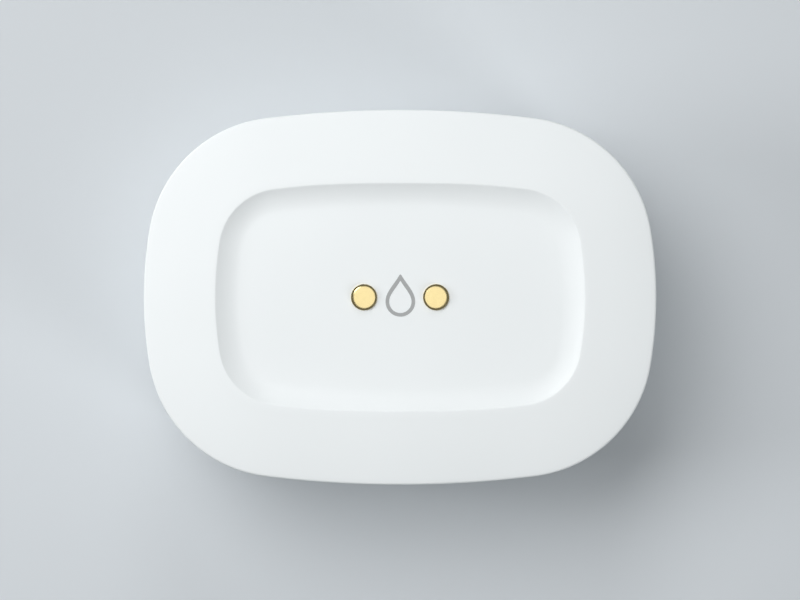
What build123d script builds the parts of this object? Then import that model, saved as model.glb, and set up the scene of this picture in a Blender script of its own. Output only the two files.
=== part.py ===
from build123d import *
import os
from math import atan2, cos, degrees, radians, sin, sqrt, tan

# Water leak sensor: a flat sealed box that lies on the floor, with two gold contacts in a dish on
# its top and two more beside its feet. Water that bridges a pair of contacts closes the circuit.
# Lengths are in millimetres. The origin is on the floor under the middle of the box, X runs along
# the long side, Y across it towards the battery side, and Z up.

# Outline of the box from above: slightly bowed sides and ends joined by round corners
LENGTH = 64.0
WIDTH = 46.8
END_BOW_RADIUS = 52.0
SIDE_BOW_RADIUS = 136.5
CORNER_RADIUS = 16.75

# Main heights above the floor
UNDERSIDE_Z = 0.6
FLOOR_TOP_Z = 2.4
SPLIT_Z = 11.0
HEIGHT = 21.6

# Rim and dish of the top
RIM_WIDTH = 9.0
RIM_SLOPE = 6.0
DISH_DEPTH = 1.15
DISH_SLOPE = 42.0
DISH_FLOOR_INSET = 13.0
COVER_WALL = 1.4

# Side walls, and the tongue of the base that is welded into the cover
WALL = 2.0
TOP_EDGE_BLEND = 0.8
FOOT_BEVEL = 1.8
SEAM_BEVEL = 0.3
TONGUE_INSET = 1.0
TONGUE_Z = 12.6

# Circuit board and its posts
BOARD_BOTTOM_Z = 6.0
BOARD_TOP_Z = 7.0
BOARD_INSET = 3.0
BOARD_BACK_Y = -1.0
POST_POINTS = [(-21.5, -12.5), (-15.5, -5), (15.5, -5), (21.5, -12.5)]

# Rubber pads that the sensor stands on
PAD_X = 21.3
PAD_Y = 11.2
PAD_RADIUS = 3.2

# Lithium cell of type CR2, lying along X, and the bay around it
CELL_RADIUS = 7.8
CELL_Y = 8.7
CELL_Z = 9.9
CELL_MINUS_X = -11.2
CELL_PLUS_X = 15.8
BAY_RADIUS = 8.1
BAY_WALL = 0.9
BAY_HALF_LENGTH = 16.2
BAY_END_WALL = 1.2
CONTACT_SHEET = 0.4

# Battery door in the underside, which swings down about pins at its inner edge
DOOR_THICKNESS = 1.3
DOOR_HALF_LENGTH = 17.35
DOOR_FAR_Y = 17.95
DOOR_GAP = 0.15
DOOR_LEDGE_Z = 2.3
DOOR_CORNER_RADIUS = 2.0
HINGE_Y = -0.95
HINGE_Z = UNDERSIDE_Z + DOOR_THICKNESS / 2
HINGE_PIN_RADIUS = 0.5
HINGE_PIN_LENGTH = 0.9
HINGE_RUNNING_GAP = 0.08
SNAP_X = 10.0
SNAP_LENGTH = 4.0

# Gold contacts: a pair in the dish and a pair at the floor
TOP_PROBE_X = 4.5
PROBE_HEAD_RADIUS = 1.65
PROBE_SHANK_RADIUS = 1.1
PROBE_PROUD = 0.45
PROBE_TAIL_Z = 16.4
PROBE_BOSS_Z = 17.2
FLOOR_PROBE_X = 10.0
FLOOR_PROBE_Y = -9.5
FLOOR_PROBE_GAP = 0.1

# Pairing button in the underside
BUTTON_Y = -11.0
BUTTON_RADIUS = 3.0
BUTTON_HOLE_RADIUS = 3.1
BUTTON_FACE_Z = 0.9
BUTTON_TOP_Z = 3.0
BUTTON_TRAVEL = 0.35
SWITCH_FACE_Z = 3.8

# Light pipe through the front wall
LIGHT_Z = 7.9
LIGHT_WIDTH = 5.0
LIGHT_HEIGHT = 1.2

DISH_FLOOR_Z = HEIGHT - DISH_DEPTH
CEILING_Z = DISH_FLOOR_Z - COVER_WALL


# Helpers for boxes, drums and turned pieces

def block(x_range, y_range, z_range):
    """Box between two limits along each axis."""
    low = Vector(x_range[0], y_range[0], z_range[0])
    high = Vector(x_range[1], y_range[1], z_range[1])
    size = high - low
    return Pos(*((low + high) * 0.5)) * Box(size.X, size.Y, size.Z)


def drum(x, y, radius, bottom_z, top_z):
    """Upright cylinder between two heights."""
    return Pos(x, y, (bottom_z + top_z) / 2) * Cylinder(radius, top_z - bottom_z)


def drum_along_x(y, z, radius, left_x, right_x):
    """Cylinder that lies along X."""
    return Pos((left_x + right_x) / 2, y, z) * Rot(0, 90, 0) * Cylinder(radius, right_x - left_x)


def turned(x, y, half_section):
    """Round piece on an upright axis, from its half section as (radius, height)."""
    shape = make_face(Polyline(*half_section, close=True))
    return Pos(x, y, 0) * revolve(Plane.XZ * shape, Axis.Z)


def bent_strip(plane, points, radii, thickness, width):
    """Sheet metal strip: its centre line is drawn on the plane and it is as wide as given."""
    side = trace(FilletPolyline(*points, radius=radii), thickness)
    return extrude(plane * side, amount=width / 2, both=True)


# The family of outlines: every wall of the case follows the same eight arc centres

def corner_centre():
    """Centre of the corner arc that touches both the bowed end and the bowed side from inside."""
    end_centre = Vector(LENGTH / 2 - END_BOW_RADIUS, 0)
    side_centre = Vector(0, WIDTH / 2 - SIDE_BOW_RADIUS)
    end_reach = END_BOW_RADIUS - CORNER_RADIUS
    side_reach = SIDE_BOW_RADIUS - CORNER_RADIUS
    between = side_centre - end_centre
    along = between.normalized()
    across = Vector(-along.Y, along.X)
    step = (end_reach ** 2 - side_reach ** 2 + between.length ** 2) / (2 * between.length)
    return end_centre + along * step + across * sqrt(end_reach ** 2 - step ** 2)


def outline_arcs():
    """Centre, radius, start angle and sweep of each arc, anticlockwise from the right end."""
    corner = corner_centre()
    end_x = LENGTH / 2 - END_BOW_RADIUS
    side_y = WIDTH / 2 - SIDE_BOW_RADIUS
    end_angle = degrees(atan2(corner.Y, corner.X - end_x))
    side_angle = degrees(atan2(corner.Y - side_y, corner.X))
    turn = side_angle - end_angle
    arcs = []
    for flip, base_angle in ((1, 0), (-1, 180)):
        end = Vector(flip * end_x, 0)
        side = Vector(0, flip * side_y)
        near_corner = corner * flip
        far_corner = Vector(-corner.X, corner.Y) * flip
        arcs.append((end, END_BOW_RADIUS, base_angle - end_angle, 2 * end_angle))
        arcs.append((near_corner, CORNER_RADIUS, base_angle + end_angle, turn))
        arcs.append((side, SIDE_BOW_RADIUS, base_angle + side_angle, 180 - 2 * side_angle))
        arcs.append((far_corner, CORNER_RADIUS, base_angle + 180 - side_angle, turn))
    return arcs


def outline_slab(inset, bottom_z, top_z):
    """Plate with the box's outline, drawn in by the inset."""
    edges = [CenterArc(centre, radius - inset, start, turn)
             for centre, radius, start, turn in outline_arcs()]
    return extrude(Pos(0, 0, bottom_z) * make_face(edges), amount=top_z - bottom_z)


def around_outline(section):
    """Carry a section, drawn as (distance in from the outline, height), round the whole box."""
    sectors = []
    for centre, radius, start, turn in outline_arcs():
        outward = Vector(cos(radians(start)), sin(radians(start)), 0)
        forward = Vector(-outward.Y, outward.X, 0)
        plane = Plane(origin=centre + outward * radius, x_dir=-outward, z_dir=forward)
        sectors.append(revolve(plane * section, Axis(centre, (0, 0, 1)), turn))
    return sectors[0] + sectors[1:]


# Case

def cover_section():
    """Half section of the cover: wall, rim rising to the dish, and the cove down to its floor."""
    slope = radians(RIM_SLOPE)
    up_rim = Vector(cos(slope), sin(slope))
    corner = Vector(0, HEIGHT - RIM_WIDTH * tan(slope))
    wall_top = corner - Vector(0, TOP_EDGE_BLEND)
    rim_start = corner + up_rim * TOP_EDGE_BLEND
    pull = 0.55 * TOP_EDGE_BLEND
    soft_edge = Bezier(wall_top, wall_top + Vector(0, pull), rim_start - up_rim * pull, rim_start)
    dish_edge = Vector(RIM_WIDTH, HEIGHT)
    cove_end = Vector(RIM_WIDTH + DISH_DEPTH / tan(radians(DISH_SLOPE / 2)), DISH_FLOOR_Z)
    down_cove = (cos(radians(DISH_SLOPE)), -sin(radians(DISH_SLOPE)))
    floor_and_inside = Polyline(
        cove_end,
        (DISH_FLOOR_INSET, DISH_FLOOR_Z),
        (DISH_FLOOR_INSET, CEILING_Z),
        (WALL, CEILING_Z),
        (WALL, TONGUE_Z),
        (TONGUE_INSET, TONGUE_Z),
        (TONGUE_INSET, SPLIT_Z),
        (0, SPLIT_Z),
        wall_top,
    )
    cove = TangentArc(dish_edge, cove_end, tangent=down_cove)
    return make_face([soft_edge, Line(rim_start, dish_edge), cove, floor_and_inside])


def top_cover():
    """Upper moulding with its dish, two probe bosses and posts that hold the board down."""
    cover = around_outline(cover_section())
    cover += outline_slab(DISH_FLOOR_INSET, CEILING_Z, DISH_FLOOR_Z)
    for x, y in POST_POINTS:
        cover += block((x - 0.6, x + 0.6), (y - 1.6, y + 1.6), (BOARD_TOP_Z, CEILING_Z))
    for x in (-TOP_PROBE_X, TOP_PROBE_X):
        cover += block((x - 2.5, x + 2.5), (-2.5, 2.5), (PROBE_BOSS_Z, CEILING_Z))
        cover -= drum(x, 0, PROBE_SHANK_RADIUS, PROBE_BOSS_Z, DISH_FLOOR_Z)
    return cover


def base_section():
    """Half section of the base: bevelled foot, wall, and the tongue that enters the cover."""
    return make_face(Polyline(
        (SEAM_BEVEL, SPLIT_Z),
        (0, SPLIT_Z - SEAM_BEVEL),
        (0, UNDERSIDE_Z + FOOT_BEVEL),
        (FOOT_BEVEL, UNDERSIDE_Z),
        (RIM_WIDTH, UNDERSIDE_Z),
        (RIM_WIDTH, FLOOR_TOP_Z),
        (WALL, FLOOR_TOP_Z),
        (WALL, TONGUE_Z),
        (TONGUE_INSET, TONGUE_Z),
        (TONGUE_INSET, SPLIT_Z),
        close=True,
    ))


def arched_bar(radius, foot_z, half_length):
    """Bar along X over the battery, flat-sided below and round on top."""
    drop = CELL_Z - foot_z
    section = Circle(radius) + Pos(0, -drop / 2) * Rectangle(2 * radius, drop)
    plane = Plane(origin=(0, CELL_Y, CELL_Z), x_dir=(0, 1, 0), z_dir=(1, 0, 0))
    return extrude(plane * section, amount=half_length, both=True)


def door_plate(grow, bottom_z, top_z):
    """Outline of the battery door with its two round far corners, enlarged by a gap if given."""
    half = DOOR_HALF_LENGTH + grow
    near_y = HINGE_Y - DOOR_THICKNESS / 2 - grow
    far_y = DOOR_FAR_Y + grow
    plate = block((-half, half), (near_y, far_y), (bottom_z, top_z))
    far_corners = plate.edges().filter_by(Axis.Z).group_by(Axis.Y)[-1]
    return fillet(far_corners, DOOR_CORNER_RADIUS + grow)


def battery_bay(base):
    """The base with its battery bay, door frame and the slots for the contact arms."""
    frame_x = DOOR_HALF_LENGTH + 1.55
    frame_y = (HINGE_Y - 2.15, DOOR_FAR_Y + 1.55)
    base += block((-frame_x, frame_x), frame_y, (1.5, DOOR_LEDGE_Z + 1.2))
    base += arched_bar(BAY_RADIUS + BAY_WALL, DOOR_LEDGE_Z, BAY_HALF_LENGTH + BAY_END_WALL)
    base -= arched_bar(BAY_RADIUS, 0, BAY_HALF_LENGTH)
    base -= door_plate(DOOR_GAP, 0, DOOR_LEDGE_Z)
    for side in (-1, 1):
        slot_x = sorted((side * (BAY_HALF_LENGTH - 0.6), side * BAY_HALF_LENGTH))
        base -= block(slot_x, (CELL_Y - 9.5, CELL_Y - 8), (BOARD_TOP_Z - 0.1, BOARD_TOP_Z + 2.3))
    return base


def door_seats(base):
    """The base with the hinge slots, the snap grooves and a scoop for the fingernail.

    The mouths of the hinge slots are narrower than the pins, which snap in from below.
    """
    for side in (-1, 1):
        hole_end = DOOR_HALF_LENGTH + HINGE_PIN_LENGTH + 0.15
        hole_x = sorted((side * DOOR_HALF_LENGTH, side * hole_end))
        base -= drum_along_x(HINGE_Y, HINGE_Z, HINGE_PIN_RADIUS + HINGE_RUNNING_GAP, *hole_x)
        base -= block(hole_x, (HINGE_Y - 0.42, HINGE_Y + 0.42), (0, HINGE_Z))
    wall_y = DOOR_FAR_Y + DOOR_GAP
    for x in (-SNAP_X, SNAP_X):
        groove_x = (x - SNAP_LENGTH / 2 - 0.3, x + SNAP_LENGTH / 2 + 0.3)
        base -= block(groove_x, (wall_y - 0.1, wall_y + 0.25), (HINGE_Z - 0.1, HINGE_Z + 0.5))
    return base - drum_along_x(wall_y, UNDERSIDE_Z - 0.4, 2.0, -5, 5)


def light_bar(front_y, back_y):
    """Bar through the front wall, as wide and as high as the light pipe."""
    half_width = LIGHT_WIDTH / 2
    half_height = LIGHT_HEIGHT / 2
    z_range = (LIGHT_Z - half_height, LIGHT_Z + half_height)
    return block((-half_width, half_width), (front_y, back_y), z_range)


def base_shell():
    """Lower moulding: tub, battery bay, board posts, probe bosses and holes."""
    base = around_outline(base_section())
    base += outline_slab(RIM_WIDTH, UNDERSIDE_Z, FLOOR_TOP_Z)
    base = door_seats(battery_bay(base))
    for x, y in POST_POINTS:
        base += block((x - 0.6, x + 0.6), (y - 1.6, y + 1.6), (FLOOR_TOP_Z, BOARD_BOTTOM_Z))
    for x in (-FLOOR_PROBE_X, FLOOR_PROBE_X):
        boss_y = (FLOOR_PROBE_Y - 2.2, FLOOR_PROBE_Y + 2.2)
        base += block((x - 2.2, x + 2.2), boss_y, (FLOOR_TOP_Z, 4.4))
        base -= drum(x, FLOOR_PROBE_Y, PROBE_SHANK_RADIUS, UNDERSIDE_Z, 4.4)
    base -= drum(0, BUTTON_Y, BUTTON_HOLE_RADIUS, UNDERSIDE_Z, FLOOR_TOP_Z)
    return base - light_bar(-WIDTH / 2 - 1, -WIDTH / 2 + 3)


def foot_pads():
    """Four rubber discs stuck to the underside; the sensor stands on them."""
    return Compound([drum(x, y, PAD_RADIUS, 0, UNDERSIDE_Z).solid()
                     for x in (-PAD_X, PAD_X) for y in (-PAD_Y, PAD_Y)])


# Battery and its contacts

def battery_cell():
    """Cylindrical lithium cell with its raised plus terminal."""
    shoulder_x = CELL_PLUS_X - 1.0
    can = drum_along_x(CELL_Y, CELL_Z, CELL_RADIUS, CELL_MINUS_X, shoulder_x)
    return can + drum_along_x(CELL_Y, CELL_Z, 3.2, shoulder_x, CELL_PLUS_X)


def contact_plate(side):
    """Sheet contact against an end wall of the bay, with its arm down to the board."""
    sheet_x = sorted((side * (BAY_HALF_LENGTH - CONTACT_SHEET), side * BAY_HALF_LENGTH))
    plate = block(sheet_x, (CELL_Y - 6, CELL_Y + 6), (CELL_Z - 5.4, CELL_Z + 4.6))
    return plate + block(sheet_x, (-3, CELL_Y - 6), (BOARD_TOP_Z, BOARD_TOP_Z + 2))


def battery_plus_contact():
    """Flat contact at the raised terminal."""
    return contact_plate(1)


def battery_minus_contact():
    """Contact with a bowed leaf that presses the cell towards the plus side."""
    sheet = 0.3
    touch_x = CELL_MINUS_X - sheet / 2
    leaf_line = [(-15.9, CELL_Z - 5), (touch_x, CELL_Z - 1.4), (touch_x, CELL_Z + 1.4),
                 (touch_x - 2.6, CELL_Z + 4)]
    plane = Plane(origin=(0, CELL_Y, 0), x_dir=(1, 0, 0), z_dir=(0, -1, 0))
    return contact_plate(-1) + bent_strip(plane, leaf_line, [1.2, 1.2], sheet, 5)


# Battery door

def battery_door():
    """Door with a rolled hinge edge, two pins, a seal groove, snap beads and cradle ribs."""
    top_z = UNDERSIDE_Z + DOOR_THICKNESS
    pin_end = DOOR_HALF_LENGTH + HINGE_PIN_LENGTH
    door = door_plate(0, UNDERSIDE_Z, top_z)
    door -= block((-20, 20), (HINGE_Y - 1, HINGE_Y), (0, 3))
    door += drum_along_x(HINGE_Y, HINGE_Z, DOOR_THICKNESS / 2, -DOOR_HALF_LENGTH, DOOR_HALF_LENGTH)
    door += drum_along_x(HINGE_Y, HINGE_Z, HINGE_PIN_RADIUS, -pin_end, pin_end)
    for x in (-7, 10):
        rib = block((x - 0.5, x + 0.5), (CELL_Y - 5, CELL_Y + 5), (top_z - 0.2, CELL_Z - 6.3))
        door += rib - drum_along_x(CELL_Y, CELL_Z, CELL_RADIUS + 0.15, x - 1, x + 1)
    for x in (-SNAP_X, SNAP_X):
        bead_x = (x - SNAP_LENGTH / 2, x + SNAP_LENGTH / 2)
        door += block(bead_x, (DOOR_FAR_Y - 0.3, DOOR_FAR_Y + 0.12), (HINGE_Z, HINGE_Z + 0.35))
    return door - seal_ring(1.5, top_z)


def seal_ring(bottom_z, top_z):
    """Ring round the opening of the bay, rounded at its outer corners."""
    outer = block((-17.1, 17.1), (-0.6, 17.7), (bottom_z, top_z))
    outer = fillet(outer.edges().filter_by(Axis.Z), 1.7)
    return outer - block((-16.4, 16.4), (0.3, 17.0), (bottom_z, top_z))


def door_seal():
    """Silicone seal in the door's groove, just under the ledge."""
    return seal_ring(1.5, DOOR_LEDGE_Z - 0.05)


# Contacts for water

def top_probe(x):
    """Gold contact moulded into the dish: a flat head with a bevelled rim on a shank."""
    top_z = DISH_FLOOR_Z + PROBE_PROUD
    return turned(x, 0, [
        (0, PROBE_TAIL_Z),
        (PROBE_SHANK_RADIUS, PROBE_TAIL_Z),
        (PROBE_SHANK_RADIUS, DISH_FLOOR_Z),
        (PROBE_HEAD_RADIUS, DISH_FLOOR_Z),
        (PROBE_HEAD_RADIUS, top_z - 0.35),
        (PROBE_HEAD_RADIUS - 0.45, top_z),
        (0, top_z),
    ])


def contact_leaf(x):
    """Bent leaf spring from the board up to the tail of a dish contact."""
    sheet = 0.25
    foot_z = BOARD_TOP_Z + sheet / 2
    tip_z = PROBE_TAIL_Z - sheet / 2
    centre_line = [(-10, foot_z), (-6.9, foot_z), (-6.9, tip_z), (1.3, tip_z)]
    plane = Plane(origin=(x, 0, 0), x_dir=(0, 1, 0), z_dir=(1, 0, 0))
    return bent_strip(plane, centre_line, [0.6, 2.0], sheet, 2.4)


def floor_probe(x):
    """Gold contact at the floor: head under the base and a body up to the board."""
    return turned(x, FLOOR_PROBE_Y, [
        (0, FLOOR_PROBE_GAP),
        (PROBE_HEAD_RADIUS, FLOOR_PROBE_GAP),
        (PROBE_HEAD_RADIUS, UNDERSIDE_Z),
        (PROBE_SHANK_RADIUS, UNDERSIDE_Z),
        (PROBE_SHANK_RADIUS, BOARD_BOTTOM_Z),
        (0, BOARD_BOTTOM_Z),
    ])


# Circuit board and what is on it

def circuit_board():
    """Board that fills the half of the case beside the battery bay."""
    board = outline_slab(BOARD_INSET, BOARD_BOTTOM_Z, BOARD_TOP_Z)
    return board - block((-40, 40), (BOARD_BACK_Y, 40), (0, 20))


def on_board(x, y, long, wide, high):
    """Plain surface-mounted piece on top of the board."""
    x_range = (x - long / 2, x + long / 2)
    return block(x_range, (y - wide / 2, y + wide / 2), (BOARD_TOP_Z, BOARD_TOP_Z + high))


def radio_shield():
    """Shield can on the radio's small board, whose printed antenna stays clear of it."""
    return block((-17.9, -8.5), (-18.2, -11.6), (BOARD_TOP_Z + 0.6, BOARD_TOP_Z + 2.2))


def status_led():
    """Side-looking light-emitting diode behind the light pipe."""
    lens = block((-1.2, 1.2), (-20.2, -19.6), (BOARD_TOP_Z, BOARD_TOP_Z + 1.6))
    return on_board(0, -18.9, 3.2, 1.4, 1.8) + lens


def light_pipe():
    """Clear bar in the front wall that shows the light outside."""
    return light_bar(-WIDTH / 2 + 0.15, -WIDTH / 2 + 2.7)


def board_components():
    """Voltage regulator and the larger capacitors and resistors."""
    places = [(9.5, -5, 3, 2.8, 1.1), (6, -13.4, 2, 1.25, 1.2), (6, -16, 2, 1.25, 1.2),
              (3, -15.2, 1.6, 0.8, 0.5), (-11.5, -5, 2, 1.25, 1.2), (14.2, -9.6, 4, 4, 1.0)]
    return Compound([on_board(*place).solid() for place in places])


def tact_switch():
    """Body of the small push switch under the board."""
    return block((-3, 3), (BUTTON_Y - 3, BUTTON_Y + 3), (SWITCH_FACE_Z, BOARD_BOTTOM_Z))


def switch_plunger():
    """Square plunger of the push switch, standing on the button."""
    return block((-1, 1), (BUTTON_Y - 1, BUTTON_Y + 1), (BUTTON_TOP_Z, SWITCH_FACE_Z - BUTTON_TRAVEL))


def pairing_button():
    """Round button set a little into the underside, with a square flange that keeps it in."""
    flange_z = FLOOR_TOP_Z + 0.1
    reach = BUTTON_RADIUS + 0.8
    flange = block((-reach, reach), (BUTTON_Y - reach, BUTTON_Y + reach), (flange_z, BUTTON_TOP_Z))
    return drum(0, BUTTON_Y, BUTTON_RADIUS, BUTTON_FACE_Z, flange_z) + flange


# Every separate piece under its own name

pieces = {
    "top_cover": top_cover(),
    "base_shell": base_shell(),
    "foot_pads": foot_pads(),
    "battery_cell": battery_cell(),
    "battery_plus_contact": battery_plus_contact(),
    "battery_minus_contact": battery_minus_contact(),
    "battery_door": battery_door(),
    "door_seal": door_seal(),
    "top_probe_left": top_probe(-TOP_PROBE_X),
    "top_probe_right": top_probe(TOP_PROBE_X),
    "contact_leaf_left": contact_leaf(-TOP_PROBE_X),
    "contact_leaf_right": contact_leaf(TOP_PROBE_X),
    "floor_probe_left": floor_probe(-FLOOR_PROBE_X),
    "floor_probe_right": floor_probe(FLOOR_PROBE_X),
    "circuit_board": circuit_board(),
    "radio_carrier": on_board(-12, -14.9, 13, 7.4, 0.6),
    "radio_shield": radio_shield(),
    "status_led": status_led(),
    "light_pipe": light_pipe(),
    "thermistor": on_board(23, -5, 1.6, 0.8, 0.8),
    "crystal": on_board(-3, -13.4, 3.2, 2.5, 0.9),
    "board_components": board_components(),
    "tact_switch": tact_switch(),
    "switch_plunger": switch_plunger(),
    "pairing_button": pairing_button(),
}

os.makedirs("parts", exist_ok=True)
for name, piece in pieces.items():
    piece.label = name
    export_step(piece, f"parts/{name}.step")
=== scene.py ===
from math import asin, atan2, copysign, cos, pi, radians, sin, sqrt

import bmesh
import bpy
from mathutils import Matrix, Vector


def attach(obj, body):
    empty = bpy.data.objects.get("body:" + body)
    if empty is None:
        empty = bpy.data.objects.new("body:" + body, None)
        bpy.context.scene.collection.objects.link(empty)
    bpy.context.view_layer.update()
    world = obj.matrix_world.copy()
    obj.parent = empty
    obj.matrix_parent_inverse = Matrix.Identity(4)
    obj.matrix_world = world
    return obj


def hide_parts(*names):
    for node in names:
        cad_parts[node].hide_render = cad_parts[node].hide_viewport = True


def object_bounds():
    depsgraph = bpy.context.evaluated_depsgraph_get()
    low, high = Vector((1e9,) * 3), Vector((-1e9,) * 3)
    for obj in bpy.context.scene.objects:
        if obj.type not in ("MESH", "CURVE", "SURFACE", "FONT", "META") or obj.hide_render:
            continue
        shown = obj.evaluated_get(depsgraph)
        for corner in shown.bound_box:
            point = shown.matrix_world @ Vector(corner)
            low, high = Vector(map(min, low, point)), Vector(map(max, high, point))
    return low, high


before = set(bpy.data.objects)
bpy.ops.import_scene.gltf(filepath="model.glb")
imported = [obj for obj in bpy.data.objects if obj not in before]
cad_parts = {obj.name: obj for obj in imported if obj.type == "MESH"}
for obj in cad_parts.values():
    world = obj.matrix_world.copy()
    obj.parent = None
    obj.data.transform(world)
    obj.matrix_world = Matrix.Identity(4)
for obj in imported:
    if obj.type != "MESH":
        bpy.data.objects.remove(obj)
cad_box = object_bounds()
MM = 0.001

# Base shell
# The lower half of the case, injection moulded in white ABS with a fine spark-eroded texture. It
# carries the battery bay, the door frame and the seats of the feet, and the cover is welded to it.

EDGE_ROUNDING = 0.12 * MM
TEXTURE_GRAIN = 0.16 * MM      # the real grain of 0.03 mm is too fine to show
TEXTURE_RELIEF = 0.0015 * MM
FLOW_MARKS = 18 * MM
GLOSS_SPREAD = 0.04


def to_linear(colour):
    """Linear red, green, blue and alpha of an sRGB hex value."""
    channels = [int(colour[i:i + 2], 16) / 255 for i in (1, 3, 5)]
    return [c / 12.92 if c < 0.0405 else ((c + 0.055) / 1.055) ** 2.4 for c in channels] + [1.0]


def add_node(material, kind, settings=None, **values):
    """Add a node, apply its settings, and fill its sockets with values or links."""
    node = material.node_tree.nodes.new(kind)
    for name, value in (settings or {}).items():
        setattr(node, name, value)
    for name, value in values.items():
        socket = node.inputs[name.replace("_", " ")]
        if isinstance(value, bpy.types.NodeSocket):
            material.node_tree.links.new(value, socket)
        else:
            socket.default_value = value
    return node


def new_material(name):
    """Material with nothing in it but its output."""
    material = bpy.data.materials.new(name)
    material.use_nodes = True
    material.node_tree.nodes.clear()
    add_node(material, "ShaderNodeOutputMaterial")
    return material


def finish_material(material, shader):
    """Send the shader to the material's output."""
    output = material.node_tree.nodes["Material Output"]
    material.node_tree.links.new(shader.outputs[0], output.inputs["Surface"])
    return material


def moulded_plastic(name, colour, darker, roughness, relief):
    """Moulded ABS: a satin skin with the mould's fine grain and hardly visible flow marks."""
    material = new_material(name)
    place = add_node(material, "ShaderNodeTexCoord").outputs["Object"]
    flow = add_node(material, "ShaderNodeTexNoise", Vector=place, Scale=1 / FLOW_MARKS, Detail=1.0)
    tint = add_node(material, "ShaderNodeMix", {"data_type": "RGBA"}, Factor=flow.outputs["Fac"])
    tint.inputs["A"].default_value = to_linear(colour)
    tint.inputs["B"].default_value = to_linear(darker)
    grain = add_node(material, "ShaderNodeTexNoise", Vector=place, Scale=1 / TEXTURE_GRAIN, Detail=2.0)
    gloss = add_node(material, "ShaderNodeMapRange", Value=grain.outputs["Fac"])
    gloss.inputs["To Min"].default_value = roughness - GLOSS_SPREAD
    gloss.inputs["To Max"].default_value = roughness + GLOSS_SPREAD
    bump = add_node(material, "ShaderNodeBump", Height=grain.outputs["Fac"], Distance=relief,
                    Strength=1.0)
    shader = add_node(material, "ShaderNodeBsdfPrincipled", Base_Color=tint.outputs["Result"],
                      Roughness=gloss.outputs["Result"], Normal=bump.outputs["Normal"], IOR=1.54)
    return finish_material(material, shader)


def solid_copy(node):
    """Closed copy of a node's mesh, with flat faces in place of their triangles."""
    mesh = bmesh.new()
    mesh.from_mesh(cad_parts[node].data)
    bmesh.ops.remove_doubles(mesh, verts=mesh.verts, dist=0.0005 * MM)
    bmesh.ops.dissolve_limit(mesh, angle_limit=radians(0.5), verts=mesh.verts, edges=mesh.edges)
    return mesh


def make_piece(name, mesh, material, body, slot, *nodes):
    """Turn a finished bmesh into a smooth-shaded object that stands for its CAD nodes."""
    data = bpy.data.meshes.new(name)
    mesh.to_mesh(data)
    mesh.free()
    data.materials.append(material)
    data.shade_smooth()
    piece = bpy.data.objects.new(name, data)
    bpy.context.scene.collection.objects.link(piece)
    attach(piece, body)
    if nodes:
        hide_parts(*nodes)
    return piece


def soften_edges(piece, width, segments=2, angle=32):
    """Round the piece's sharp edges as a mould or a die leaves them."""
    bevel = piece.modifiers.new("rounded edges", "BEVEL")
    bevel.width = width
    bevel.segments = segments
    bevel.limit_method = "ANGLE"
    bevel.angle_limit = radians(angle)
    return flatten_shading(piece)


def flatten_shading(piece):
    """Let large faces keep their own shading, so that only the narrow faces beside them blend."""
    shading = piece.modifiers.new("flat faces shaded flat", "WEIGHTED_NORMAL")
    shading.weight = 100
    return piece


white_abs = moulded_plastic("moulded ABS, cool white", "#EEF2F3", "#E9EDEE", 0.6, TEXTURE_RELIEF)
base = make_piece("base_moulding", solid_copy("base_shell"), white_abs, "housing", "case_plastic",
                  "base_shell")
soften_edges(base, EDGE_ROUNDING)

# Top cover
# The upper half of the case, moulded in the same white ABS. Its rim falls away to the outside in a
# slight crown, and a soft cove leads down to the flat dish where the water gathers. Four posts
# under it hold the board down, and two bosses carry the dish contacts.

BOX_LENGTH = cad_box[1].x - cad_box[0].x         # 64 mm
BOX_WIDTH = cad_box[1].y - cad_box[0].y          # 46.8 mm
END_BOW = 52.0 * MM
SIDE_BOW = 136.5 * MM
CORNER = 16.75 * MM
SEAM_Z = 11.0 * MM
RIM_TOP_Z = cad_box[1].z                         # 21.6 mm
RIM_WIDTH = 9.0 * MM
RIM_FALL = 0.95 * MM
COVE_DEPTH = 1.15 * MM
COVE_RUN = 3.0 * MM
DISH_FLATTENING = 0.2 * MM       # the dish's long edges bow less than the sides of the box
DISH_HALF_WIDTH = BOX_WIDTH / 2 - RIM_WIDTH
DISH_FLAT_LENGTH = 13.0 * MM
DISH_FLAT_REACH = 2.8 * MM
COVER_WALL = 2.0 * MM
WELD_TOP_Z = 12.6 * MM
CEILING_Z = 19.05 * MM
LOOP_INSET = 13.0 * MM           # the carried section ends here, and flat faces close it
SEAM_ROUNDING = 0.15 * MM
RIM_ROUNDING = 0.25 * MM
DISH_ROUNDING = 0.12 * MM
STEP_ALONG = 0.8 * MM
RIM_STEPS = 12
CROWN_SHARE = 0.25               # share of the rim's fall that comes towards its outer edge
# In millimetres, as add_block takes them
POST_PLACES = [(-21.5, -12.5), (-15.5, -5), (15.5, -5), (21.5, -12.5)]
POST_HALF = (0.6, 1.6)
POST_FOOT_Z = 7.0
BOSS_PLACES = (-4.5, 4.5)
BOSS_HALF = 2.5
BOSS_FOOT_Z = 17.2
BLOCK_TOP_Z = 19.35              # a little inside the ceiling


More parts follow.
